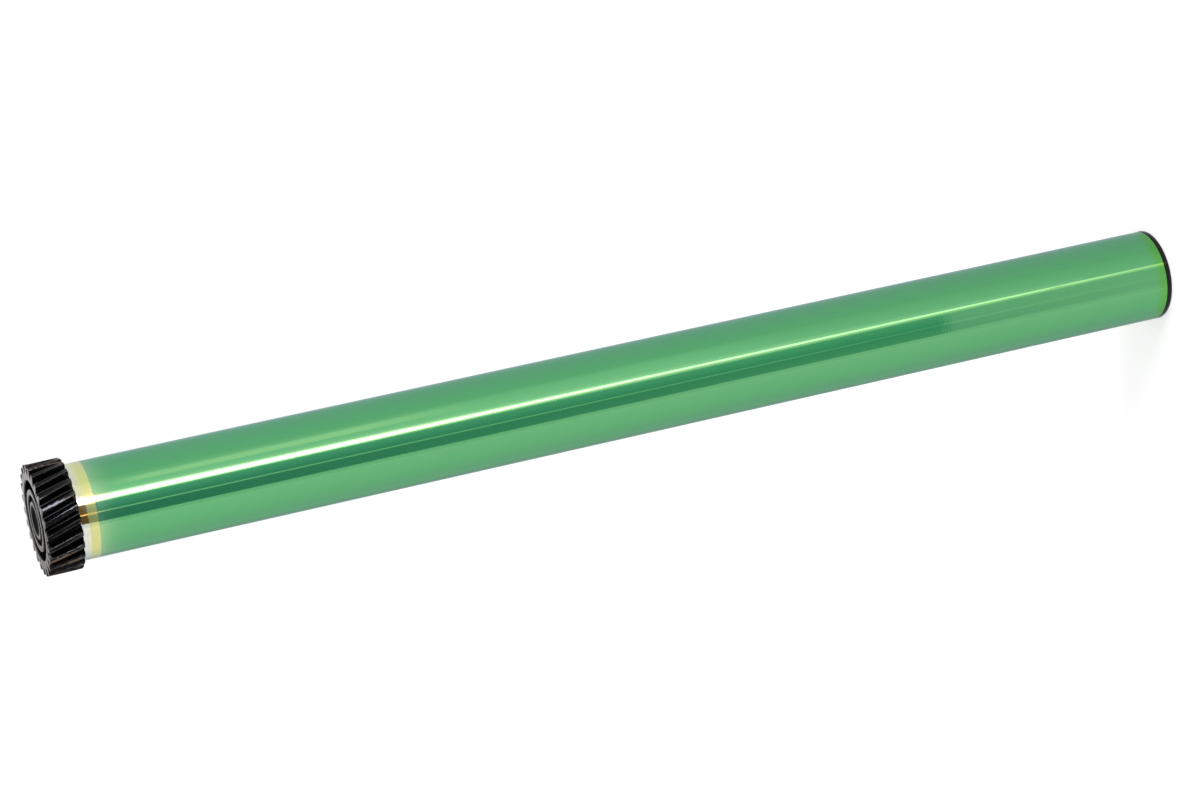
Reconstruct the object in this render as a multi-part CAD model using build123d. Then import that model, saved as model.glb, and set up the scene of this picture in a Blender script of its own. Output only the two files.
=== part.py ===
from build123d import *
from math import atan, cos, degrees, pi, radians, sin, sqrt, tan
import os

# Photoconductor drum of a laser printer: a thin aluminium tube with a moulded helical
# drive gear glued into its top end, a moulded idle flange in its bottom end, and a
# stamped contact plate that earths the tube to the shaft. The drum stands on the idle
# flange, +Z runs along its axis, and the origin is the centre of the flange's outer
# face. All lengths are in millimetres and all angles in degrees.

# Tube
drum_diameter = 30.0
tube_length = 372.0
tube_wall = 0.75
seat_depth = 0.05
seat_length = 15.0
seat_lead_in = 0.25
tube_edge_chamfer = 0.15

# Gaps between the pieces
glue_gap = 0.03
claw_gap = 0.02
finger_gap = 0.04
stake_hole_gap = 0.05

# Shaft bore and the hubs round it
bore_diameter = 6.0
bore_chamfer = 0.3
hub_wall = 2.55
gear_hub_length = 16.0
idle_hub_length = 11.0

# Helical teeth
tooth_count = 25
normal_module = 1.25
normal_pressure_angle = 20.0
helix_angle = 18.0
gear_width = 11.0
addendum_in_modules = 0.7
dedendum_in_modules = 1.25
tooth_thinning = 0.08
tooth_front_chamfer = 0.12
tooth_rear_chamfer = 0.4
tooth_phase = 3.8
flank_points = 5

# Gear body
rim_wall = 2.3
web_thickness = 2.0
ring_wall = 1.85
hub_groove_width = 2.35
hub_groove_depth = 1.0
hub_groove_floor = 1.5
face_edge_chamfer = 0.2
gear_rib_depth = 8.0

# Spigots that enter the tube, with the ribs inside them
spigot_length = 11.0
spigot_wall = 1.6
spigot_lead_in = 0.6
rib_count = 6
rib_thickness = 1.2
rib_root = 0.4

# Idle flange
flange_rim_thickness = 1.75
flange_rim_chamfer = 0.25
foot_width = 2.3
face_recess = 1.0
idle_rib_height = 6.0

# Contact plate, and the stakes that hold it on the idle flange
plate_thickness = 0.2
plate_overlap = 0.9
plate_width = 6.0
stake_inset = 3.4
stake_count = 2
stake_boss_diameter = 3.8
stake_pin_diameter = 2.0
stake_head_diameter = 3.2
stake_head_height = 0.6
claw_count = 4
claw_width = 2.4
claw_bend_angle = 45.0
finger_count = 2
finger_width = 3.0
finger_bend_angle = 30.0
finger_start_angle = 90.0

# Radii that follow
drum_radius = drum_diameter / 2
tube_bore_radius = drum_radius - tube_wall
seat_radius = tube_bore_radius + seat_depth
spigot_radius = seat_radius - glue_gap
spigot_bore_radius = spigot_radius - spigot_wall
bore_radius = bore_diameter / 2
hub_radius = bore_radius + hub_wall
ring_inner_radius = hub_radius + hub_groove_width
ring_outer_radius = ring_inner_radius + ring_wall
plate_radius = spigot_bore_radius + plate_overlap
window_radius = plate_radius - plate_width
stake_radius = plate_radius - stake_inset

# Heights that follow
tube_bottom = flange_rim_thickness
tube_top = tube_bottom + tube_length
gear_face = tube_top + gear_width
plate_bottom = tube_bottom + spigot_length
plate_top = plate_bottom + plate_thickness

# Transverse gear sizes
transverse_module = normal_module / cos(radians(helix_angle))
pressure_angle = atan(tan(radians(normal_pressure_angle)) / cos(radians(helix_angle)))
pitch_radius = tooth_count * transverse_module / 2
base_radius = pitch_radius * cos(pressure_angle)
tip_radius = pitch_radius + addendum_in_modules * normal_module
root_radius = pitch_radius - dedendum_in_modules * normal_module
rim_inner_radius = root_radius - rim_wall
helix_twist = degrees(gear_width * tan(radians(helix_angle)) / pitch_radius)

# The stakes stand midway between two ribs
stake_start_angle = 180 / rib_count


def turned(*corners):
    """A solid turned about the axis from the (radius, height) corners of its section."""
    section = make_face(Polyline(*corners, close=True))
    return revolve(Plane.XZ * section, axis=Axis.Z)


def disc(radius, bottom, top):
    """A plain cylinder on the axis between two heights."""
    return Pos(0, 0, (bottom + top) / 2) * Cylinder(radius, top - bottom)


def polar(radius, angle):
    """A point of the plane at a radius and an angle in radians."""
    return (radius * cos(angle), radius * sin(angle))


def tube():
    """The aluminium tube, with a turned seat and a lead-in chamfer at each end."""
    step = seat_depth
    return turned(
        (seat_radius + seat_lead_in, tube_bottom),
        (drum_radius - tube_edge_chamfer, tube_bottom),
        (drum_radius, tube_bottom + tube_edge_chamfer),
        (drum_radius, tube_top - tube_edge_chamfer),
        (drum_radius - tube_edge_chamfer, tube_top),
        (seat_radius + seat_lead_in, tube_top),
        (seat_radius, tube_top - seat_lead_in),
        (seat_radius, tube_top - seat_length),
        (tube_bore_radius, tube_top - seat_length - step),
        (tube_bore_radius, tube_bottom + seat_length + step),
        (seat_radius, tube_bottom + seat_length),
        (seat_radius, tube_bottom + seat_lead_in),
    )


def tooth_outline():
    """Closed transverse outline of all the teeth: involute flanks, round roots."""
    pitch = 2 * pi / tooth_count
    half_at_pitch = pitch / 4 - tooth_thinning / (2 * pitch_radius)
    half_at_base = half_at_pitch + tan(pressure_angle) - pressure_angle
    tip_roll = sqrt((tip_radius / base_radius) ** 2 - 1)

    def flank_point(centre, side, roll):
        radius = base_radius * sqrt(1 + roll**2)
        return polar(radius, centre + side * (half_at_base - roll + atan(roll)))

    rolls = [tip_roll * step / (flank_points - 1) for step in range(flank_points)]
    edges = []
    for tooth in range(tooth_count):
        centre = tooth * pitch
        rising = [flank_point(centre, -1, roll) for roll in rolls]
        falling = [flank_point(centre, 1, roll) for roll in reversed(rolls)]
        gap_bottom = polar(root_radius, centre + pitch / 2)
        next_start = flank_point(centre + pitch, -1, 0)
        edges.append(Spline(*rising))
        edges.append(ThreePointArc(rising[-1], polar(tip_radius, centre), falling[0]))
        edges.append(Spline(*falling))
        edges.append(ThreePointArc(falling[-1], gap_bottom, next_start))
    return make_face(edges)


def toothed_ring():
    """The left-hand helical toothed rim with its tooth ends chamfered, and the web in it."""
    start = Pos(0, 0, tube_top) * Rot(0, 0, tooth_phase + helix_twist) * tooth_outline()
    teeth = Solid.extrude_linear_with_rotation(
        start.face(), (0, 0, tube_top), (0, 0, gear_width), -helix_twist
    )
    rear = tooth_rear_chamfer
    front = tooth_front_chamfer
    web_top = tube_top + web_thickness
    envelope = turned(
        (ring_outer_radius, tube_top),
        (tip_radius - rear, tube_top),
        (tip_radius + rear, tube_top + 2 * rear),
        (tip_radius + rear, gear_face - rear - 2 * front),
        (tip_radius + front, gear_face - 2 * front),
        (tip_radius - front, gear_face),
        (rim_inner_radius + face_edge_chamfer, gear_face),
        (rim_inner_radius, gear_face - face_edge_chamfer),
        (rim_inner_radius, web_top),
        (ring_outer_radius, web_top),
    )
    return teeth & envelope


def ribs(bottom, top):
    """Radial ribs from the hub to the inside of a spigot."""
    inner = hub_radius - rib_root
    outer = spigot_bore_radius + rib_root
    rib = Pos((inner + outer) / 2, 0, (bottom + top) / 2) * Box(
        outer - inner, rib_thickness, top - bottom
    )
    return [Rot(0, 0, 360 * turn / rib_count) * rib for turn in range(rib_count)]


def drive_gear():
    """The moulded gear: toothed rim, web, inner ring, hub and the spigot below."""
    hub_bottom = gear_face - gear_hub_length
    web_top = tube_top + web_thickness
    groove_bottom = gear_face - hub_groove_depth
    pocket_top = groove_bottom - hub_groove_floor
    spigot_bottom = tube_top - spigot_length
    body = turned(
        (bore_radius + bore_chamfer, hub_bottom),
        (hub_radius, hub_bottom),
        (hub_radius, pocket_top),
        (ring_inner_radius, pocket_top),
        (ring_inner_radius, tube_top),
        (spigot_bore_radius, tube_top),
        (spigot_bore_radius, spigot_bottom),
        (spigot_radius - spigot_lead_in, spigot_bottom),
        (spigot_radius, spigot_bottom + spigot_lead_in),
        (spigot_radius, web_top),
        (ring_outer_radius, web_top),
        (ring_outer_radius, gear_face - face_edge_chamfer),
        (ring_outer_radius - face_edge_chamfer, gear_face),
        (ring_inner_radius + face_edge_chamfer, gear_face),
        (ring_inner_radius, gear_face - face_edge_chamfer),
        (ring_inner_radius, groove_bottom),
        (hub_radius, groove_bottom),
        (hub_radius, gear_face - face_edge_chamfer),
        (hub_radius - face_edge_chamfer, gear_face),
        (bore_radius + bore_chamfer, gear_face),
        (bore_radius, gear_face - bore_chamfer),
        (bore_radius, hub_bottom + bore_chamfer),
    )
    gear = body + ribs(tube_top - gear_rib_depth, tube_top + web_thickness / 2)
    return gear + toothed_ring()


def stake_angles():
    """The directions of the stakes from the axis."""
    return [stake_start_angle + 360 * turn / stake_count for turn in range(stake_count)]


def stakes():
    """The bosses that carry the contact plate, each with its melted pin and head."""
    boss_bottom = face_recess + web_thickness / 2
    column = [
        (0, boss_bottom),
        (stake_boss_diameter / 2, boss_bottom),
        (stake_boss_diameter / 2, plate_bottom),
        (stake_pin_diameter / 2, plate_bottom),
        (stake_pin_diameter / 2, plate_top),
        (stake_head_diameter / 2, plate_top),
        (stake_head_diameter / 2, plate_top + stake_head_height / 2),
        (stake_pin_diameter / 2, plate_top + stake_head_height),
        (0, plate_top + stake_head_height),
    ]
    stake = Pos(stake_radius, 0, 0) * turned(*column)
    return [Rot(0, 0, angle) * stake for angle in stake_angles()]


def idle_flange():
    """The moulded end cap: rim, recessed web, hub, spigot, ribs and stakes."""
    web_top = face_recess + web_thickness
    foot_inner_radius = drum_radius - foot_width
    spigot_top = tube_bottom + spigot_length
    body = turned(
        (bore_radius + bore_chamfer, 0),
        (hub_radius, 0),
        (hub_radius, face_recess),
        (foot_inner_radius, face_recess),
        (foot_inner_radius, 0),
        (drum_radius - flange_rim_chamfer, 0),
        (drum_radius, flange_rim_chamfer),
        (drum_radius, tube_bottom),
        (spigot_radius, tube_bottom),
        (spigot_radius, spigot_top - spigot_lead_in),
        (spigot_radius - spigot_lead_in, spigot_top),
        (spigot_bore_radius, spigot_top),
        (spigot_bore_radius, web_top),
        (hub_radius, web_top),
        (hub_radius, idle_hub_length),
        (bore_radius + bore_chamfer, idle_hub_length),
        (bore_radius, idle_hub_length - bore_chamfer),
        (bore_radius, bore_chamfer),
    )
    return body + ribs(web_top - web_thickness / 2, web_top + idle_rib_height) + stakes()


def sloped_strip(start_radius, end_radius, width, slope):
    """A bent-up strip of the plate's sheet, from one radius to another along +X."""
    rise = abs(end_radius - start_radius) * tan(radians(slope))
    root = plate_thickness * (1 if end_radius < start_radius else -1)
    side = make_face(
        Polyline(
            (start_radius + root, plate_bottom),
            (start_radius, plate_bottom),
            (end_radius, plate_bottom + rise),
            (end_radius, plate_top + rise),
            (start_radius, plate_top),
            (start_radius + root, plate_top),
            close=True,
        )
    )
    return extrude(Plane.XZ * side, amount=width / 2, both=True)


def contact_plate():
    """The stamped earthing plate: claws bite the tube, fingers touch the shaft."""
    plate = disc(plate_radius, plate_bottom, plate_top) - disc(
        window_radius, plate_bottom, plate_top
    )
    hole = Pos(stake_radius, 0, 0) * disc(
        stake_pin_diameter / 2 + stake_hole_gap, plate_bottom, plate_top
    )
    for angle in stake_angles():
        plate -= Rot(0, 0, angle) * hole

    claw_reach = seat_radius - claw_gap
    claw = sloped_strip(plate_radius - plate_thickness, seat_radius, claw_width, claw_bend_angle)
    claw &= disc(claw_reach, plate_bottom, plate_top + drum_radius)
    for turn in range(claw_count):
        plate += Rot(0, 0, 360 * turn / claw_count) * claw

    finger_tip = bore_radius + finger_gap
    finger = sloped_strip(window_radius, finger_tip, finger_width, finger_bend_angle)
    for turn in range(finger_count):
        angle = stake_start_angle + finger_start_angle + 360 * turn / finger_count
        plate += Rot(0, 0, angle) * finger
    return plate


def main():
    os.makedirs("parts", exist_ok=True)
    pieces = {
        "drum_tube": tube(),
        "drive_gear": drive_gear(),
        "idle_flange": idle_flange(),
        "contact_plate": contact_plate(),
    }
    for node, shape in pieces.items():
        export_step(shape, f"parts/{node}.step")


main()
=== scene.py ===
import math

import bpy
from bpy.props import FloatProperty, FloatVectorProperty, IntProperty, PointerProperty
from mathutils import Matrix, Vector


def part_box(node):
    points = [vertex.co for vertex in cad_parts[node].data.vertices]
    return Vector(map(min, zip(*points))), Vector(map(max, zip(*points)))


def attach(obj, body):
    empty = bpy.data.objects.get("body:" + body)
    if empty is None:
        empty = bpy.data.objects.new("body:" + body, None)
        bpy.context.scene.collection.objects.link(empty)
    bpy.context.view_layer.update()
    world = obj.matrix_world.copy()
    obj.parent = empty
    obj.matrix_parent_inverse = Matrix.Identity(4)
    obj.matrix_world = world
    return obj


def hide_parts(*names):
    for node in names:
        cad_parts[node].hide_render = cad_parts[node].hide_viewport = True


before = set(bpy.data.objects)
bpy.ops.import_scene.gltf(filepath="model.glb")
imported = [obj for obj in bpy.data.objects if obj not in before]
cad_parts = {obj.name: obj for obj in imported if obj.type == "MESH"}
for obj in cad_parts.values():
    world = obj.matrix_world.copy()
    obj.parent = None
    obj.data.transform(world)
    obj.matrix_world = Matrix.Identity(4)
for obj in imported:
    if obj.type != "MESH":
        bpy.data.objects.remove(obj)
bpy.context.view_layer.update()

bl_info = {
    "name": "Printer drum",
    "version": (1, 0, 0),
    "blender": (4, 5, 0),
    "location": "3D View > Sidebar > Printer drum",
    "description": "Dresses a photoconductor drum: coated tube, moulded gear and flange, and a studio",
    "category": "Add Mesh",
}

MM = 0.001
TUBE_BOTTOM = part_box("drum_tube")[0].z
TUBE_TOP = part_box("drum_tube")[1].z
TUBE_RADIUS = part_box("drum_tube")[1].x
GEAR_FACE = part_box("drive_gear")[1].z

# What lies no further off than this counts as on a ring, a wall or a face
NEAR = 0.01 * MM
MERGE_DISTANCE = 0.001 * MM
TUBE_SMOOTH_ANGLE = math.radians(30)
MOULDING_SMOOTH_ANGLE = math.radians(32)


class TubeSettings(bpy.types.PropertyGroup):
    """Sizes and finishes of the coated tube."""

    wall: FloatProperty(name="Wall", description="Thickness of the tube", default=0.75 * MM, unit="LENGTH")
    seat_depth: FloatProperty(
        name="Seat depth", description="How much wider the bore is at each end",
        default=0.05 * MM, unit="LENGTH",
    )
    seat_length: FloatProperty(
        name="Seat length", description="Length of the wider bore", default=15 * MM, unit="LENGTH"
    )
    lead_in: FloatProperty(
        name="Lead-in", description="Chamfer at the mouth of the bore", default=0.25 * MM, unit="LENGTH"
    )
    edge: FloatProperty(
        name="Edge chamfer", description="Chamfer of the outer edges", default=0.15 * MM, unit="LENGTH"
    )
    segments: IntProperty(name="Segments", description="Flat strips round the tube", default=288)
    bare_band: FloatProperty(
        name="Bare band", description="Bare aluminium below the gear", default=2.45 * MM, unit="LENGTH"
    )
    undercoat_band: FloatProperty(
        name="Undercoat edge", description="Where the green coating starts below the gear",
        default=5.35 * MM, unit="LENGTH",
    )
    coating_colour: FloatVectorProperty(
        name="Coating", description="Colour of the photoconductive coating", subtype="COLOR",
        default=(0.131, 0.460, 0.182),
    )
    thin_colour: FloatVectorProperty(
        name="Thin coating", description="Coating where it runs out towards the gear", subtype="COLOR",
        default=(0.345, 0.590, 0.300),
    )
    lime_colour: FloatVectorProperty(
        name="Wiped coating", description="Coating at the idle flange", subtype="COLOR",
        default=(0.125, 0.448, 0.076),
    )
    undercoat_colour: FloatVectorProperty(
        name="Undercoat", description="Colour of the yellow undercoat", subtype="COLOR",
        default=(0.785, 0.760, 0.315),
    )
    wiped_undercoat_colour: FloatVectorProperty(
        name="Wiped undercoat", description="Undercoat where it runs out towards the gear", subtype="COLOR",
        default=(0.785, 0.770, 0.590),
    )
    undercoat_step: FloatProperty(
        name="Undercoat step", description="How much nearer the gear the undercoat ends on one side",
        default=1.35 * MM, unit="LENGTH",
    )
    edge_wave: FloatProperty(
        name="Edge wave", description="How uneven the wiped edge of the green coating is",
        default=0.07 * MM, unit="LENGTH",
    )
    aluminium_colour: FloatVectorProperty(
        name="Aluminium", description="Colour of the bare turned aluminium", subtype="COLOR",
        default=(0.795, 0.785, 0.625),
    )
    edge_colour: FloatVectorProperty(
        name="Turned edge", description="Colour of the aluminium next to the gear", subtype="COLOR",
        default=(0.775, 0.770, 0.730),
    )


class MouldingSettings(bpy.types.PropertyGroup):
    """Finish of the black mouldings and of the contact plate."""

    gear_colour: FloatVectorProperty(
        name="Gear", description="Colour of the gear's plastic", subtype="COLOR",
        default=(0.005, 0.005, 0.0055),
    )
    flange_colour: FloatVectorProperty(
        name="Flange", description="Colour of the idle flange's plastic", subtype="COLOR",
        default=(0.0055, 0.0050, 0.0050),
    )
    bronze_colour: FloatVectorProperty(
        name="Bronze", description="Colour of the contact plate", subtype="COLOR", default=(0.80, 0.52, 0.30)
    )
    edge: FloatProperty(
        name="Edge rounding", description="How wide the mouldings' edges are rounded",
        default=0.07 * MM, unit="LENGTH",
    )
    grain: FloatProperty(
        name="Grain", description="Size of the moulded grain", default=0.12 * MM, unit="LENGTH"
    )
    hub_radius: FloatProperty(
        name="Hub radius", description="Radius of the gear's hub in the frame",
        default=5.55 * MM, unit="LENGTH",
    )
    hub_flare: FloatProperty(
        name="Hub flare", description="How many times wider the hub is at its face", default=1.08
    )
    hub_lip: FloatProperty(
        name="Hub lip", description="Width of the lip round the hub's face", default=0.82 * MM, unit="LENGTH"
    )
    dish_depth: FloatProperty(
        name="Dish depth", description="How deep the hub's face is sunk", default=0.9 * MM, unit="LENGTH"
    )


class StageSettings(bpy.types.PropertyGroup):
    """The camera's place, the light and the floor, and how far off the cards stand."""

    camera_distance: FloatProperty(
        name="Camera distance", description="Level distance from the drum's axis",
        default=1036.3 * MM, unit="LENGTH",
    )
    camera_height: FloatProperty(
        name="Camera height", description="Height of the camera over the floor",
        default=545.15 * MM, unit="LENGTH",
    )
    camera_tilt: FloatProperty(
        name="Camera tilt", description="How far the camera looks down", default=math.radians(18.386),
        subtype="ANGLE",
    )
    camera_pan: FloatProperty(
        name="Camera pan", description="Turn of the camera about the vertical", default=math.radians(0.0702),
        subtype="ANGLE",
    )
    camera_roll: FloatProperty(
        name="Camera roll", description="Turn of the camera about its own line of sight",
        default=math.radians(-102.498), subtype="ANGLE",
    )
    lens: FloatProperty(name="Lens", description="Focal length in millimetres", default=102.6)
    card_distance: FloatProperty(
        name="Card distance", description="Distance of the cards from the axis",
        default=120 * MM, unit="LENGTH",
    )
    floor_radius: FloatProperty(
        name="Floor radius", description="Radius of the round floor", default=8.0, unit="LENGTH"
    )
    floor_colour: FloatVectorProperty(
        name="Floor", description="Colour of the floor", subtype="COLOR", default=(0.62, 0.62, 0.62)
    )
    surround_light: FloatProperty(
        name="Surround light", description="Strength of the even white surround", default=0.8
    )
    lamp_power: FloatProperty(name="Lamp power", description="Power of the lamp in watts", default=6.0)


SETTINGS = {
    "drum_tube_settings": TubeSettings,
    "drum_moulding_settings": MouldingSettings,
    "drum_stage_settings": StageSettings,
}


def tube_settings():
    return bpy.context.scene.drum_tube_settings


def moulding_settings():
    return bpy.context.scene.drum_moulding_settings


def stage_settings():
    return bpy.context.scene.drum_stage_settings


def deselect_all():
    if bpy.context.object and bpy.context.object.mode != "OBJECT":
        bpy.ops.object.mode_set(mode="OBJECT")
    bpy.ops.object.select_all(action="DESELECT")


def finish_piece(piece, name, node):
    """Names a new piece, puts its place into its mesh and ties it to the part."""
    piece.name = name
    piece.data.name = name
    bpy.ops.object.transform_apply(location=True, rotation=True, scale=True)
    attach(piece, "root")
    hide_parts(node)


class Shader:
    """A material under construction, with its Principled shader and the place on the piece."""

    def __init__(self, name):
        self.material = bpy.data.materials.new(name)
        self.material.use_nodes = True
        self.tree = self.material.node_tree
        self.principled = self.tree.nodes["Principled BSDF"]
        self.place = self.tree.nodes.new("ShaderNodeTexCoord").outputs["Object"]

    def set(self, **values):
        for name, value in values.items():
            socket = self.principled.inputs[name.replace("_", " ")]
            if hasattr(socket.default_value, "__len__") and len(socket.default_value) == 4:
                value = (*value, 1)
            socket.default_value = value

    def height(self):
        """The height over the floor, which a piece at the origin reads as Z."""
        return add_node(self.tree, "ShaderNodeSeparateXYZ", {0: self.place}).outputs["Z"]

    def effect(self, name, **inputs):
        """The value that a shared effect has at each place."""
        node = add_node(self.tree, "ShaderNodeGroup", node_tree=shared_group(name))
        fill(self.tree, node, {"Vector": self.place, **inputs})
        return node.outputs[0]

    def feed(self, socket_name, output):
        self.tree.links.new(output, self.principled.inputs[socket_name])

    def bump(self, height, distance):
        inputs = {"Height": height, "Strength": 1.0, "Distance": distance}
        self.feed("Normal", add_node(self.tree, "ShaderNodeBump", inputs).outputs["Normal"])


def fill(tree, node, inputs):
    """Links or sets the inputs of a node, found by name or by number."""
    for key, value in (inputs or {}).items():
        socket = node.inputs[key]
        if isinstance(value, bpy.types.NodeSocket):
            tree.links.new(value, socket)
        elif socket.type == "RGBA" and len(value) == 3:
            socket.default_value = (*value, 1)
        else:
            socket.default_value = value


def add_node(tree, kind, inputs=None, **settings):
    node = tree.nodes.new(kind)
    for name, value in settings.items():
        setattr(node, name, value)
    fill(tree, node, inputs)
    return node


def new_group(name, inputs, outputs):
    """A shader node group with named sockets, and its input and output nodes."""
    group = bpy.data.node_groups.new(name, "ShaderNodeTree")
    for socket_name, socket_type, value in inputs:
        socket = group.interface.new_socket(socket_name, in_out="INPUT", socket_type=socket_type)
        if value is not None:
            socket.default_value = value
    for socket_name, socket_type in outputs:
        group.interface.new_socket(socket_name, in_out="OUTPUT", socket_type=socket_type)
    return group, group.nodes.new("NodeGroupInput").outputs, group.nodes.new("NodeGroupOutput").inputs


def math_node(tree, operation, first, second=0.0, clamp=False):
    inputs = {0: first, 1: second}
    return add_node(tree, "ShaderNodeMath", inputs, operation=operation, use_clamp=clamp).outputs[0]


def mix_colours(tree, share, first, second):
    """The first colour where the share is 0, and the second where it is 1."""
    inputs = {0: share, 6: first, 7: second}
    return add_node(tree, "ShaderNodeMix", inputs, data_type="RGBA").outputs[2]


def ramp(tree, value, none, full):
    """0 where the value is at none, rising or falling smoothly to 1 where it is at full."""
    inputs = {"Value": value, "From Min": none, "From Max": full}
    return add_node(tree, "ShaderNodeMapRange", inputs, interpolation_type="SMOOTHSTEP").outputs[0]


def turning_lines_group():
    """Fine lines that a lathe tool leaves round a tube, and a ripple stretched round it."""
    group, given, result = new_group(
        "Turning lines",
        [
            ("Vector", "NodeSocketVector", None),
            ("Spacing", "NodeSocketFloat", 0.2 * MM),
            ("Ripple", "NodeSocketFloat", 0.0),
        ],
        [("Height", "NodeSocketFloat")],
    )
    height = add_node(group, "ShaderNodeSeparateXYZ", {0: given["Vector"]}).outputs["Z"]
    turns = math_node(group, "DIVIDE", height, given["Spacing"])
    line_noise = {"W": turns, "Scale": 1.0, "Detail": 2.0}
    lines = add_node(group, "ShaderNodeTexNoise", line_noise, noise_dimensions="1D")
    ripples_per_metre = (250, 250, 1400)
    stretch = {0: given["Vector"], 1: ripples_per_metre}
    stretched = add_node(group, "ShaderNodeVectorMath", stretch, operation="MULTIPLY").outputs[0]
    ripple = add_node(group, "ShaderNodeTexNoise", {"Vector": stretched, "Scale": 1.0, "Detail": 1.0})
    scaled = math_node(group, "MULTIPLY", ripple.outputs[0], given["Ripple"])
    group.links.new(math_node(group, "ADD", lines.outputs[0], scaled), result["Height"])
    return group


def clouds_group():
    """Slow, soft changes over a surface, between two values."""
    group, given, result = new_group(
        "Clouds",
        [
            ("Vector", "NodeSocketVector", None),
            ("Size", "NodeSocketFloat", 10 * MM),
            ("Low", "NodeSocketFloat", 0.0),
            ("High", "NodeSocketFloat", 1.0),
        ],
        [("Value", "NodeSocketFloat")],
    )
    scale = math_node(group, "DIVIDE", 1.0, given["Size"])
    noise = add_node(
        group, "ShaderNodeTexNoise", {"Vector": given["Vector"], "Scale": scale, "Detail": 3.0}
    ).outputs[0]
    limits = {"From Min": 0.3, "From Max": 0.7, "To Min": given["Low"], "To Max": given["High"]}
    spread = add_node(group, "ShaderNodeMapRange", {"Value": noise, **limits})
    group.links.new(spread.outputs[0], result["Value"])
    return group


def moulded_grain_group():
    """The fine grain of a moulded or rolled surface."""
    group, given, result = new_group(
        "Moulded grain",
        [("Vector", "NodeSocketVector", None), ("Size", "NodeSocketFloat", 0.2 * MM)],
        [("Height", "NodeSocketFloat")],
    )
    scale = math_node(group, "DIVIDE", 1.0, given["Size"])
    cells = add_node(
        group, "ShaderNodeTexVoronoi", {"Vector": given["Vector"], "Scale": scale}, feature="SMOOTH_F1"
    )
    group.links.new(cells.outputs["Distance"], result["Height"])
    return group


EFFECTS = {
    "Turning lines": turning_lines_group,
    "Clouds": clouds_group,
    "Moulded grain": moulded_grain_group,
}


def shared_group(name):
    """The node group of an effect, built when it is first asked for."""
    if name not in bpy.data.node_groups:
        EFFECTS[name]()
    return bpy.data.node_groups[name]


def coating_material():
    """Clear green coating on turned aluminium, thin towards the gear, wiped at the idle flange."""
    settings = tube_settings()
    thin_length, thin_power = 3.3 * MM, 1.4
    wiped_whole, wiped_end = TUBE_BOTTOM + 1.0 * MM, TUBE_BOTTOM + 4.8 * MM
    shader = Shader("green_coating")
    tree = shader.tree
    shader.set(Metallic=0.85, Specular_Tint=(0.65, 0.85, 0.65), Coat_Weight=0.5, Coat_Roughness=0.03)
    height = shader.height()
    depth = math_node(tree, "SUBTRACT", TUBE_TOP - settings.undercoat_band, height, clamp=True)
    depth = math_node(tree, "POWER", math_node(tree, "DIVIDE", depth, thin_length), thin_power)
    thinning = math_node(tree, "EXPONENT", math_node(tree, "MULTIPLY", depth, -1.0))
    wiped = ramp(tree, height, wiped_end, wiped_whole)
    colour = mix_colours(tree, thinning, settings.coating_colour, settings.thin_colour)
    shader.feed("Base Color", mix_colours(tree, wiped, colour, settings.lime_colour))
    shader.feed("Roughness", shader.effect("Clouds", Size=20 * MM, Low=0.045, High=0.06))
    shader.bump(shader.effect("Turning lines", Spacing=0.3 * MM, Ripple=15.0), 0.0008 * MM)
    return shader.material


def undercoat_material():
    """The thin yellow undercoat, through which the aluminium shines."""
    settings = tube_settings()
    whole, end = TUBE_TOP - 3.4 * MM, TUBE_TOP - 0.8 * MM
    shader = Shader("yellow_undercoat")
    shader.set(Metallic=0.75, Coat_Weight=0.05, Coat_Roughness=0.05)
    share = ramp(shader.tree, shader.height(), end, whole)
    colour = mix_colours(shader.tree, share, settings.wiped_undercoat_colour, settings.undercoat_colour)
    shader.feed("Base Color", colour)
    shader.feed("Roughness", shader.effect("Clouds", Size=6 * MM, Low=0.10, High=0.14))
    shader.bump(shader.effect("Turning lines", Spacing=0.3 * MM), 0.001 * MM)
    return shader.material


def aluminium_material():
    """Bare turned aluminium of the tube's end, its edges and its bore."""
    settings = tube_settings()
    warm_whole, warm_end = TUBE_TOP - 1.6 * MM, TUBE_TOP - 0.6 * MM
    shader = Shader("bare_aluminium")
    shader.set(Metallic=1.0)
    warm = ramp(shader.tree, shader.height(), warm_end, warm_whole)
    colour = mix_colours(shader.tree, warm, settings.edge_colour, settings.aluminium_colour)
    shader.feed("Base Color", colour)
    shader.feed("Roughness", shader.effect("Clouds", Size=4 * MM, Low=0.06, High=0.09))
    shader.bump(shader.effect("Turning lines", Spacing=0.2 * MM), 0.001 * MM)
    return shader.material


def plastic_material(name, colour, shine):
    """Satin black moulded acetal."""
    shader = Shader(name)
    shader.set(Specular_IOR_Level=shine)
    tint = {0: colour, "Scale": shader.effect("Clouds", Size=3 * MM, Low=0.85, High=1.2)}
    tinted = add_node(shader.tree, "ShaderNodeVectorMath", tint, operation="SCALE")
    shader.feed("Base Color", tinted.outputs[0])
    shader.feed("Roughness", shader.effect("Clouds", Size=4 * MM, Low=0.08, High=0.12))
    shader.bump(shader.effect("Moulded grain", Size=moulding_settings().grain), 0.002 * MM)
    return shader.material


def bronze_material():
    """Bright rolled phosphor bronze strip."""
    shader = Shader("phosphor_bronze")
    shader.set(Base_Color=moulding_settings().bronze_colour, Metallic=1.0)
    shader.feed("Roughness", shader.effect("Clouds", Size=2 * MM, Low=0.18, High=0.34))
    shader.bump(shader.effect("Moulded grain", Size=0.08 * MM), 0.002 * MM)
    return shader.material


def extrude_ring(rise, factor, centre_height):
    """Extrudes the selected ring along the axis and brings it to its new radius."""
    bpy.ops.mesh.extrude_region_move(TRANSFORM_OT_translate={"value": (0, 0, rise)})
    bpy.ops.transform.resize(value=(factor, factor, 1), center_override=(0, 0, centre_height))


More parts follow.
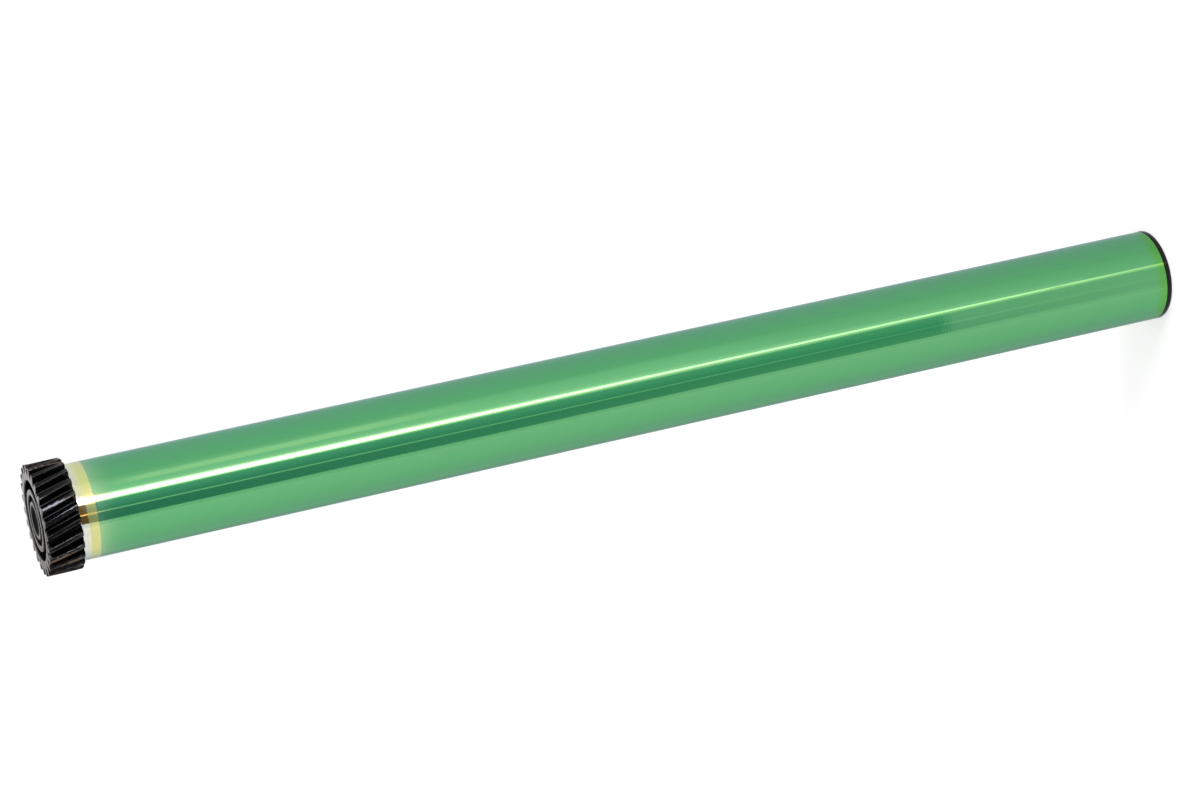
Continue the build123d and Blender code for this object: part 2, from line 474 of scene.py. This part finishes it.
def turn_section(corners, segments):
    """Turns a closed (radius, height) section: one ring is extruded from corner to corner."""
    deselect_all()
    radius, height = corners[0]
    bpy.ops.mesh.primitive_circle_add(vertices=segments, radius=radius, location=(0, 0, height))
    piece = bpy.context.object
    bpy.ops.object.mode_set(mode="EDIT")
    bpy.ops.mesh.select_all(action="SELECT")
    for next_radius, next_height in [*corners[1:], corners[0]]:
        extrude_ring(next_height - height, next_radius / radius, next_height)
        radius, height = next_radius, next_height
    bpy.ops.mesh.select_all(action="SELECT")
    bpy.ops.mesh.remove_doubles(threshold=MERGE_DISTANCE)
    bpy.ops.mesh.normals_make_consistent(inside=False)
    bpy.ops.object.mode_set(mode="OBJECT")
    return piece


def tube_section():
    """Corners of the tube's wall, with a ring where each finish ends."""
    settings = tube_settings()
    bore = TUBE_RADIUS - settings.wall
    seat = bore + settings.seat_depth
    mouth = seat + settings.lead_in
    edge = TUBE_RADIUS - settings.edge
    return [
        (mouth, TUBE_BOTTOM),
        (edge, TUBE_BOTTOM),
        (TUBE_RADIUS, TUBE_BOTTOM + settings.edge),
        (TUBE_RADIUS, TUBE_TOP - settings.undercoat_band),
        (TUBE_RADIUS, TUBE_TOP - settings.bare_band),
        (TUBE_RADIUS, TUBE_TOP - settings.edge),
        (edge, TUBE_TOP),
        (mouth, TUBE_TOP),
        (seat, TUBE_TOP - settings.lead_in),
        (seat, TUBE_TOP - settings.seat_length),
        (bore, TUBE_TOP - settings.seat_length - settings.seat_depth),
        (bore, TUBE_BOTTOM + settings.seat_length + settings.seat_depth),
        (seat, TUBE_BOTTOM + settings.seat_length),
        (seat, TUBE_BOTTOM + settings.lead_in),
    ]


def wall_ring(mesh, height):
    """The vertices of the outer wall's ring at a height, each with its angle about the axis."""
    for vertex in mesh.vertices:
        if abs(vertex.co.z - height) < NEAR and vertex.co.xy.length > TUBE_RADIUS - NEAR:
            yield vertex, math.atan2(vertex.co.y, vertex.co.x)


def wave_ring(mesh, height, size):
    """Makes a ring uneven, as a wiped edge is, and least so on one side of the tube. Each wave has its
    share, how often it goes round and its phase."""
    waves = ((1.0, 3, 1), (0.6, 17, 0), (0.7, 41, 2))
    least, side_phase = 0.15, 0.7
    for vertex, angle in wall_ring(mesh, height):
        wave = sum(share * math.sin(count * angle + phase) for share, count, phase in waves)
        vertex.co.z += size * wave * max(least, math.sin(angle / 2 + side_phase) ** 2)


def step_ring(mesh, height, rise):
    """Lifts a ring on one side of the wall, where the undercoat was wiped less."""
    middle, end, slope = 0.1, 0.05, 0.25
    for vertex, angle in wall_ring(mesh, height):
        share = min(max((math.cos(angle - middle) - end) / slope, 0), 1)
        vertex.co.z += rise * share * share * (3 - 2 * share)


def paint_tube(piece):
    """Gives each strip of the outer wall its finish by the height of its lower edge."""
    settings = tube_settings()
    for material in (aluminium_material(), undercoat_material(), coating_material()):
        piece.data.materials.append(material)
    undercoat, coating = 1, 2
    room_for_waves = 0.5 * MM
    coating_top = TUBE_TOP - settings.undercoat_band - room_for_waves
    undercoat_top = TUBE_TOP - settings.bare_band - room_for_waves
    for face in piece.data.polygons:
        lowest = min(piece.data.vertices[number].co.z for number in face.vertices)
        on_wall = face.center.xy.length > TUBE_RADIUS - NEAR
        if on_wall and lowest < coating_top:
            face.material_index = coating
        elif on_wall and lowest < undercoat_top:
            face.material_index = undercoat


class DRUM_OT_coated_tube(bpy.types.Operator):
    """Turns the coated aluminium tube"""

    bl_idname = "drum.coated_tube"
    bl_label = "Coated tube"

    def execute(self, context):
        settings = tube_settings()
        piece = turn_section(tube_section(), settings.segments)
        finish_piece(piece, "coated_tube", "drum_tube")
        wave_ring(piece.data, TUBE_TOP - settings.undercoat_band, settings.edge_wave)
        step_ring(piece.data, TUBE_TOP - settings.bare_band, settings.undercoat_step)
        paint_tube(piece)
        bpy.ops.object.shade_smooth_by_angle(angle=TUBE_SMOOTH_ANGLE)
        return {"FINISHED"}


def dress(node, material):
    """Puts one material on every slot of a CAD node."""
    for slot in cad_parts[node].material_slots:
        slot.material = material


def moulding_copy(node):
    """A merged copy of a CAD node, to be finished."""
    deselect_all()
    piece = bpy.data.objects.new(node + "_copy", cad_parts[node].data.copy())
    bpy.context.scene.collection.objects.link(piece)
    bpy.context.view_layer.objects.active = piece
    piece.select_set(True)
    bpy.ops.object.mode_set(mode="EDIT")
    bpy.ops.mesh.select_all(action="SELECT")
    bpy.ops.mesh.remove_doubles(threshold=MERGE_DISTANCE)
    bpy.ops.object.mode_set(mode="OBJECT")
    return piece


def round_edges(piece, edge):
    """Rounds the sharp edges, as a moulding's are."""
    bevel = piece.modifiers.new("round", "BEVEL")
    bevel.width = edge
    bevel.segments = 2
    bevel.limit_method = "ANGLE"
    bevel.angle_limit = MOULDING_SMOOTH_ANGLE
    bevel.use_clamp_overlap = False
    bpy.ops.object.modifier_apply(modifier="round")
    bpy.ops.object.shade_smooth_by_angle(angle=MOULDING_SMOOTH_ANGLE)


def dish_hub(piece):
    """Widens the gear's hub a little at its face and sinks the middle of that face, which leaves a lip."""
    settings = moulding_settings()
    chamfer, slope = 0.2 * MM, 0.15 * MM
    face_depth, flare_depth = 0.5 * MM, 1.1 * MM
    mouth_share, mouth_sink = 0.8, 1.5
    for vertex in piece.data.vertices:
        vertex.select = False
    for edge in piece.data.edges:
        edge.select = False
    for face in piece.data.polygons:
        face.select = face.center.z > GEAR_FACE - NEAR and face.center.xy.length < settings.hub_radius
    bpy.ops.object.mode_set(mode="EDIT")
    bpy.ops.mesh.select_mode(type="FACE")
    bpy.ops.mesh.inset(thickness=settings.hub_lip)
    bpy.ops.mesh.inset(thickness=slope)
    bpy.ops.object.mode_set(mode="OBJECT")
    floor_radius = settings.hub_radius - chamfer - settings.hub_lip - slope / 2
    for vertex in piece.data.vertices:
        radius = vertex.co.xy.length
        depth = GEAR_FACE - vertex.co.z
        if depth < face_depth and radius < floor_radius:
            in_mouth = radius < mouth_share * floor_radius
            vertex.co.z -= settings.dish_depth * (mouth_sink if in_mouth else 1.0)
        elif depth < flare_depth and radius < settings.hub_radius + NEAR:
            vertex.co.x *= settings.hub_flare
            vertex.co.y *= settings.hub_flare


def paint_moulding(piece, colour, shine, is_open):
    """Satin plastic on the open faces, and in the grooves and gaps a darker, duller copy of it as painted
    shade.
    """
    # Painted shade: the plastic made darker and less shiny, for the grooves and gaps
    painted_shade_colour, painted_shade_shine = Vector(colour) * 0.4, 0.12
    piece.data.materials.clear()
    piece.data.materials.append(plastic_material(piece.name + "_acetal", colour, shine))
    piece.data.materials.append(plastic_material(piece.name + "_hollows", painted_shade_colour, painted_shade_shine))
    for face in piece.data.polygons:
        face.material_index = 0 if is_open(face) else 1


class DRUM_OT_drive_gear(bpy.types.Operator):
    """Finishes the moulded drive gear"""

    bl_idname = "drum.drive_gear"
    bl_label = "Drive gear"

    def execute(self, context):
        settings = moulding_settings()
        piece = moulding_copy("drive_gear")
        dish_hub(piece)
        round_edges(piece, settings.edge)
        finish_piece(piece, "moulded_gear", "drive_gear")
        tip_radius = max(vertex.co.xy.length for vertex in piece.data.vertices)
        tip_depth, face_depth = 0.2 * MM, 0.25 * MM

        # Faces that are neither on the tooth tips nor on the front face get the painted shade
        def is_open(face):
            on_tip = face.center.xy.length > tip_radius - tip_depth
            return on_tip or face.center.z > GEAR_FACE - face_depth

        paint_moulding(piece, settings.gear_colour, shine=0.5, is_open=is_open)
        return {"FINISHED"}


class DRUM_OT_idle_flange(bpy.types.Operator):
    """Finishes the moulded idle flange"""

    bl_idname = "drum.idle_flange"
    bl_label = "Idle flange"

    def execute(self, context):
        settings = moulding_settings()
        piece = moulding_copy("idle_flange")
        round_edges(piece, settings.edge)
        finish_piece(piece, "moulded_flange", "idle_flange")

        # Faces whose middle is not below the tube's lower end get the painted shade
        def is_open(face):
            return face.center.z < TUBE_BOTTOM

        paint_moulding(piece, settings.flange_colour, shine=0.25, is_open=is_open)
        return {"FINISHED"}


class DRUM_OT_contact_plate(bpy.types.Operator):
    """Finishes the stamped contact plate"""

    bl_idname = "drum.contact_plate"
    bl_label = "Contact plate"

    def execute(self, context):
        dress("contact_plate", bronze_material())
        return {"FINISHED"}


def add_floor():
    """A plain pale floor that shows white to the camera and in mirrors, and keeps the drum's shadow."""
    settings = stage_settings()
    deselect_all()
    bpy.ops.mesh.primitive_circle_add(
        vertices=128, radius=settings.floor_radius, fill_type="NGON", location=(0, 0, 0)
    )
    floor = bpy.context.object
    floor.name = "floor"
    material = bpy.data.materials.new("floor_paper")
    material.use_nodes = True
    tree = material.node_tree
    tree.nodes.remove(tree.nodes["Principled BSDF"])
    path = add_node(tree, "ShaderNodeLightPath")
    seen = math_node(tree, "MAXIMUM", path.outputs["Is Camera Ray"], path.outputs["Is Glossy Ray"])
    seen = math_node(tree, "MAXIMUM", seen, path.outputs["Is Transmission Ray"])
    paper = add_node(tree, "ShaderNodeBsdfDiffuse", {"Color": settings.floor_colour})
    lift_to_white = 0.5
    lift = math_node(tree, "MULTIPLY", seen, lift_to_white)
    glow = add_node(tree, "ShaderNodeEmission", {"Color": (1.0, 1.0, 1.0), "Strength": lift})
    both = add_node(tree, "ShaderNodeAddShader", {0: paper.outputs[0], 1: glow.outputs[0]})
    tree.links.new(both.outputs[0], tree.nodes["Material Output"].inputs["Surface"])
    floor.data.materials.append(material)


# Cards are divided this finely, and no fade is narrower than this share of a card
CARD_STRIPS = 24
LEAST_FADE = 0.001

# How much nearer the axis each layer of cards lies, and how far over the floor where a card lies on it
LAYER_GAP = 2 * MM
FLOOR_GAP = 0.1 * MM
FLOOR_LAYER_GAP = 0.05 * MM

# Heights at which cards end, in mm over the tube's lower end
BELOW_FLANGE = -1
FLAGS_FOOT = 82.5
UNDERCOAT_EDGE = 366.6
BARE_EDGE = 369.55
TEETH_FOOT = 374.5
BEYOND_GEAR = 390
GEAR_CARDS_TOP = 400

# The share across the tube at which cards end that reach its outline
OUTLINE = 0.996


def card_material(name, colours, side_fades, end_fades):
    """A glowing card on its own UV map. Its colour runs between those of its four corners, low left,
    low right, high left and high right, and its sides and ends fade out softly."""
    material = bpy.data.materials.new(name)
    material.use_nodes = True
    tree = material.node_tree
    tree.nodes.remove(tree.nodes["Principled BSDF"])
    place = add_node(tree, "ShaderNodeSeparateXYZ", {0: add_node(tree, "ShaderNodeTexCoord").outputs["UV"]})
    across, up = place.outputs["X"], place.outputs["Y"]
    mask = 1.0
    for value, (start, end) in ((across, side_fades), (up, end_fades)):
        mask = math_node(tree, "MULTIPLY", mask, ramp(tree, value, 0.0, max(start, LEAST_FADE)))
        mask = math_node(tree, "MULTIPLY", mask, ramp(tree, value, 1.0, 1.0 - max(end, LEAST_FADE)))
    low_left, low_right, high_left, high_right = colours
    low = mix_colours(tree, across, low_left, low_right)
    high = mix_colours(tree, across, high_left, high_right)
    glow = add_node(tree, "ShaderNodeEmission", {"Color": mix_colours(tree, up, low, high)})
    clear = add_node(tree, "ShaderNodeBsdfTransparent")
    both = add_node(tree, "ShaderNodeMixShader", {0: mask, 1: clear.outputs[0], 2: glow.outputs[0]})
    tree.links.new(both.outputs[0], tree.nodes["Material Output"].inputs["Surface"])
    return material


def mirrored_place(share, height, layer):
    """The place that the camera sees mirrored in the tube at a height and at a share across it, from
    -1 at the picture's top to 1 at its bottom. It lies at the card distance, or on the floor."""
    settings = stage_settings()
    eye = Vector((0, -settings.camera_distance, settings.camera_height))
    outward = Vector((-share, -math.sqrt(1 - share * share), 0))
    point = TUBE_RADIUS * outward + Vector((0, 0, height))
    ray = (point - eye).normalized().reflect(outward)
    reach = settings.card_distance - layer * LAYER_GAP
    slope = ray.xy.length_squared
    lean = point.xy.dot(ray.xy)
    run = (math.sqrt(lean * lean + slope * (reach * reach - TUBE_RADIUS * TUBE_RADIUS)) - lean) / slope
    run = min(run, (height - FLOOR_GAP - layer * FLOOR_LAYER_GAP) / -ray.z)
    return point + run * ray


def show_in_mirrors_only(card):
    """Hides a card from the camera and keeps its light and shadow off the floor."""
    card.visible_camera = False
    card.visible_diffuse = False
    card.visible_shadow = False
    card.visible_transmission = False


def add_card(name, ends, colours, side_fades=(0.01, 0.01), end_fades=(0.0, 0.0), layer=0):
    """A card round the drum, seen in reflections alone. Each of its two ends is (height, share, share):
    its height in mm over the tube's lower end, and between which shares across the tube it lies."""
    deselect_all()
    bpy.ops.mesh.primitive_grid_add(x_subdivisions=CARD_STRIPS, y_subdivisions=CARD_STRIPS, size=1)
    card = bpy.context.object
    card.name = name
    for vertex in card.data.vertices:
        across, up = vertex.co.x + 0.5, vertex.co.y + 0.5
        height, left, right = [low + (high - low) * up for low, high in zip(*ends)]
        vertex.co = mirrored_place(left + (right - left) * across, TUBE_BOTTOM + height * MM, layer)
    card.data.materials.append(card_material(name, colours, side_fades, end_fades))
    show_in_mirrors_only(card)


def straight(left, right, low=BELOW_FLANGE, high=BEYOND_GEAR):
    """The ends of a card that keeps its two shares from its low to its high end."""
    return (low, left, right), (high, left, right)


def plain(colour):
    """The corners of a card of one colour."""
    return (colour,) * 4


def sideways(left, right):
    """The corners of a card whose colour changes from side to side."""
    return (left, right) * 2


def upwards(low, high):
    """The corners of a card whose colour changes from end to end."""
    return low, low, high, high


def add_chain(name, joints, fades, layer):
    """Cards that join end to end. Each joint is an end and its colour, and each card has its fades."""
    for number, side_fades in enumerate(fades):
        (low, low_colour), (high, high_colour) = joints[number : number + 2]
        colours = upwards(low_colour, high_colour)
        add_card(f"{name}_{number}", (low, high), colours, side_fades, layer=layer)


def add_sheets():
    """Pale sheets that the whole side facing the camera mirrors."""
    add_card(
        "side_sheet", straight(-OUTLINE, -0.45),
        ((0.57, 0.55, 0.80), (0.58, 0.75, 0.67), (0.55, 0.60, 0.82), (0.60, 0.83, 0.74)),
    )
    add_card(
        "rising_sheet", straight(-0.57, -0.11),
        ((0.57, 0.70, 0.68), (0.90, 0.97, 0.94), (0.64, 0.80, 0.78), (1.45, 1.38, 1.43)),
        side_fades=(0.15, 0.01), layer=1,
    )
    add_card(
        "soft_streak", ((130, -0.52, -0.24), (285, -0.52, -0.27)),
        sideways((0.76, 0.87, 0.85), (1.14, 1.14, 1.12)),
        side_fades=(0.2, 0.1), end_fades=(0.35, 0.2), layer=2,
    )
    add_card(
        "pale_streak", ((235, -0.51, -0.34), (364, -0.48, -0.35)), plain((1.6, 1.24, 1.22)),
        side_fades=(0.5, 0.12), end_fades=(0.4, 0.12), layer=3,
    )
    add_card(
        "far_sheet", straight(0.34, OUTLINE),
        ((0.98, 0.97, 0.95), (0.54, 0.58, 0.72), (1.04, 1.05, 1.03), (0.58, 0.70, 0.78)),
        side_fades=(0.06, 0.01),
    )
    add_card(
        "far_middle", straight(0.40, 0.88, high=367),
        ((0.88, 0.98, 0.91), (0.64, 0.74, 0.78), (0.97, 1.07, 0.98), (0.70, 0.80, 0.82)),
        side_fades=(0.4, 0.4), layer=1,
    )
    add_card(
        "edge_shade", straight(0.90, 0.999), plain((0.40, 0.46, 0.52)),
        side_fades=(0.9, 0.001), layer=2,
    )
    add_card(
        "near_sheet", straight(0.28, 0.365),
        ((0.86, 0.89, 0.87), (0.92, 0.92, 0.9), (0.74, 0.87, 0.83), (0.78, 0.88, 0.84)),
        side_fades=(0.01, 0.15), layer=1,
    )


def add_flags():
    """Dark flags, which show as the dark band, and the thin gap between them."""
    overlap = 4
    add_card(
        "low_flag", straight(-0.125, 0.305, high=FLAGS_FOOT),
        ((0.78, 0.83, 0.82), (0.79, 0.81, 0.83), (0.68, 0.79, 0.80), (0.50, 0.62, 0.68)),
        side_fades=(0.05, 0.1), layer=2,
    )
    add_card(
        "left_flag", ((FLAGS_FOOT - overlap, -0.130, 0.10), (UNDERCOAT_EDGE, -0.108, 0.10)),
        ((0.32, 0.64, 0.60), (0.11, 0.44, 0.40), (0.31, 0.61, 0.67), (0.03, 0.27, 0.36)),
        side_fades=(0.14, 0.01), end_fades=(0.02, 0.0), layer=3,
    )
    add_card(
        "right_flag", straight(0.095, 0.300, FLAGS_FOOT - overlap, UNDERCOAT_EDGE),
        ((0.13, 0.44, 0.40), (0.28, 0.54, 0.49), (0.04, 0.245, 0.315), (0.02, 0.225, 0.275)),
        side_fades=(0.01, 0.06), end_fades=(0.02, 0.0), layer=3,
    )
    add_card(
        "gap", ((FLAGS_FOOT, 0.080, 0.116), (UNDERCOAT_EDGE, 0.084, 0.120)),
        upwards((0.33, 0.60, 0.56), (0.85, 0.90, 0.76)),
        side_fades=(0.3, 0.3), layer=4,
    )
    add_card(
        "low_gap", ((BELOW_FLANGE, 0.080, 0.120), (FLAGS_FOOT, 0.080, 0.116)), plain((0.85, 0.87, 0.88)),
        side_fades=(0.3, 0.3), layer=4,
    )


def add_end_cards():
    """The warmer cards that the bare and the yellow band at the gear end mirror."""
    add_card(
        "brown_flag", straight(-0.108, 0.285, BARE_EDGE),
        sideways((0.19, 0.085, 0.0), (0.13, 0.055, 0.0)),
        side_fades=(0.03, 0.02), layer=3,
    )
    add_card(
        "olive_flag", straight(-0.108, 0.285, UNDERCOAT_EDGE, BARE_EDGE),
        sideways((0.20, 0.33, 0.36), (0.0, 0.06, 0.0)),
        side_fades=(0.03, 0.02), layer=3,
    )
    add_card(
        "amber_gap", straight(0.090, 0.113, UNDERCOAT_EDGE), plain((1.9, 1.2, 0.35)),
        side_fades=(0.2, 0.2), layer=4,
    )
    add_card(
        "warm_sheet", straight(-OUTLINE, -0.45, BARE_EDGE, TEETH_FOOT), plain((0.80, 0.81, 0.70)),
        layer=1,
    )
    add_card(
        "warm_rise", straight(-0.57, -0.11, BARE_EDGE, TEETH_FOOT), plain((0.96, 0.93, 0.70)),
        side_fades=(0.15, 0.01), layer=3,
    )
    add_card(
        "warm_far", straight(0.45, 0.90, UNDERCOAT_EDGE, TEETH_FOOT),
        sideways((1.07, 1.07, 1.02), (0.79, 0.83, 0.80)),
        side_fades=(0.3, 0.2), layer=3,
    )


def add_strip():
    """The bright strip, soft towards the picture's top, with a warm edge on its other side."""
    warm_edge = (
        ((BELOW_FLANGE, -0.175, -0.124), (1.6, 1.32, 1.05)),
        ((230, -0.175, -0.110), (2.4, 1.45, 1.35)),
        ((BEYOND_GEAR, -0.175, -0.104), (3.2, 1.4, 1.7)),
    )
    skirt = (
        ((30, -0.285, -0.18), (1.0, 0.98, 1.0)),
        ((200, -0.285, -0.18), (1.65, 1.35, 1.45)),
        ((BEYOND_GEAR, -0.29, -0.18), (2.2, 1.2, 1.5)),
    )
    strip = (
        ((BELOW_FLANGE, -0.203, -0.152), (2.6, 1.75, 1.55)),
        ((168.5, -0.209, -0.150), (6.9, 4.8, 4.6)),
        ((268.5, -0.235, -0.112), (10.8, 8.0, 6.9)),
        ((TEETH_FOOT, -0.252, -0.100), (12.5, 10.8, 9.4)),
    )
    add_chain("warm_edge", warm_edge, ((0.1, 0.4), (0.1, 0.4)), layer=4)
    add_chain("skirt", skirt, ((0.55, 0.03), (0.55, 0.03)), layer=4)
    add_chain("strip", strip, ((0.6, 0.4), (0.6, 0.46), (0.55, 0.42)), layer=5)


def add_gear_cards():
    """The darker surround, the strip and the warm glow that the teeth mirror."""
    overlap = 0.2
    heights = {"low": TEETH_FOOT - overlap, "high": GEAR_CARDS_TOP}
    add_card(
        "gear_shade", straight(-OUTLINE, 0.0, **heights),
        sideways((0.25, 0.235, 0.225), (0.19, 0.18, 0.17)), layer=6,
    )
    add_card(
        "gear_dark", straight(-0.01, OUTLINE, **heights),
        sideways((0.09, 0.085, 0.08), (0.08, 0.07, 0.06)), layer=6,
    )
    add_card(
        "gear_strip", straight(-0.28, -0.10, **heights), plain((11.0, 11.0, 13.0)),
        side_fades=(0.3, 0.2), layer=7,
    )
    add_card(
        "warm_glow", straight(0.61, 0.86, **heights), plain((2.3, 1.6, 1.1)),
        side_fades=(0.3, 0.3), layer=7,
    )


def add_rim_glint():
    """The small bright spot on the idle flange's rim."""
    place = straight(-0.185, -0.168, low=-0.9, high=-0.2)
    add_card("rim_glint", place, plain((20.0, 20.0, 19.0)), side_fades=(0.2, 0.2))


def add_back_panel(name, middle, width, distance, colour, side_fades):
    """A panel behind the drum, which the gear's face mirrors."""
    rise, height = 0.10, 0.24
    deselect_all()
    bpy.ops.mesh.primitive_grid_add(x_subdivisions=2, y_subdivisions=2, size=1)
    panel = bpy.context.object
    panel.name = name
    for vertex in panel.data.vertices:
        across, up = vertex.co.x, vertex.co.y
        vertex.co = (middle + width * across, distance, GEAR_FACE + rise + height * up)
    panel.data.materials.append(card_material(name, plain(colour), side_fades, (0.3, 0.3)))
    show_in_mirrors_only(panel)


def add_back_panels():
    """A pale panel, and a darker one before its left part."""
    add_back_panel(
        "back_panel", middle=0.0, width=0.5, distance=0.3,
        colour=(0.95, 0.92, 0.90), side_fades=(0.2, 0.2),
    )
    add_back_panel(
        "back_shade", middle=-0.085, width=0.2, distance=0.29,
        colour=(0.52, 0.48, 0.46), side_fades=(0.05, 0.15),
    )


def add_lamp(name, location, size, power):
    """A soft square lamp that points at the drum's middle."""
    lamp = bpy.data.lights.new(name, "AREA")
    lamp.size = size
    lamp.energy = power
    item = bpy.data.objects.new(name, lamp)
    aim = Vector((0, 0, GEAR_FACE / 2)) - Vector(location)
    item.matrix_world = Matrix.Translation(location) @ aim.to_track_quat("-Z", "Y").to_matrix().to_4x4()
    bpy.context.scene.collection.objects.link(item)


def add_world():
    """An even white surround."""
    world = bpy.data.worlds.new("studio")
    world.use_nodes = True
    background = world.node_tree.nodes["Background"]
    background.inputs["Color"].default_value = (1, 1, 1, 1)
    background.inputs["Strength"].default_value = stage_settings().surround_light
    bpy.context.scene.world = world


def add_camera():
    """The camera of the photograph, which shows the standing drum lying across the picture."""
    settings = stage_settings()
    data = bpy.data.cameras.new("camera")
    data.sensor_width = 36
    data.lens = settings.lens
    camera = bpy.data.objects.new("camera", data)
    place = Matrix.Translation((0, -settings.camera_distance, settings.camera_height))
    pan = Matrix.Rotation(settings.camera_pan, 4, "Z")
    tilt = Matrix.Rotation(math.pi / 2 - settings.camera_tilt, 4, "X")
    roll = Matrix.Rotation(settings.camera_roll, 4, "Z")
    camera.matrix_world = place @ pan @ tilt @ roll
    bpy.context.scene.collection.objects.link(camera)
    bpy.context.scene.camera = camera


class DRUM_OT_stage(bpy.types.Operator):
    """Adds the floor, the cards, the lamp and the camera"""

    bl_idname = "drum.stage"
    bl_label = "Stage"

    def execute(self, context):
        add_floor()
        add_sheets()
        add_flags()
        add_end_cards()
        add_strip()
        add_gear_cards()
        add_rim_glint()
        add_back_panels()
        add_world()
        add_lamp("key_lamp", location=(0.7, -0.6, 0.9), size=0.6, power=stage_settings().lamp_power)
        add_camera()
        context.scene.view_settings.view_transform = "Standard"
        return {"FINISHED"}


class DRUM_PT_panel(bpy.types.Panel):
    """Lists the pieces of the drum"""

    bl_label = "Printer drum"
    bl_idname = "DRUM_PT_panel"
    bl_space_type = "VIEW_3D"
    bl_region_type = "UI"
    bl_category = "Printer drum"

    def draw(self, context):
        for operator in OPERATORS:
            self.layout.operator(operator.bl_idname)
        for name, group in SETTINGS.items():
            settings = getattr(context.scene, name)
            for item in group.__annotations__:
                self.layout.prop(settings, item)


OPERATORS = (
    DRUM_OT_coated_tube,
    DRUM_OT_drive_gear,
    DRUM_OT_idle_flange,
    DRUM_OT_contact_plate,
    DRUM_OT_stage,
)


def register():
    for name, group in SETTINGS.items():
        bpy.utils.register_class(group)
        setattr(bpy.types.Scene, name, PointerProperty(type=group))
    for item in (*OPERATORS, DRUM_PT_panel):
        bpy.utils.register_class(item)


def unregister():
    for item in (DRUM_PT_panel, *reversed(OPERATORS)):
        bpy.utils.unregister_class(item)
    for name, group in SETTINGS.items():
        delattr(bpy.types.Scene, name)
        bpy.utils.unregister_class(group)


def main():
    register()
    bpy.ops.drum.coated_tube()
    bpy.ops.drum.drive_gear()
    bpy.ops.drum.idle_flange()
    bpy.ops.drum.contact_plate()
    bpy.ops.drum.stage()


if __name__ == "__main__":
    main()
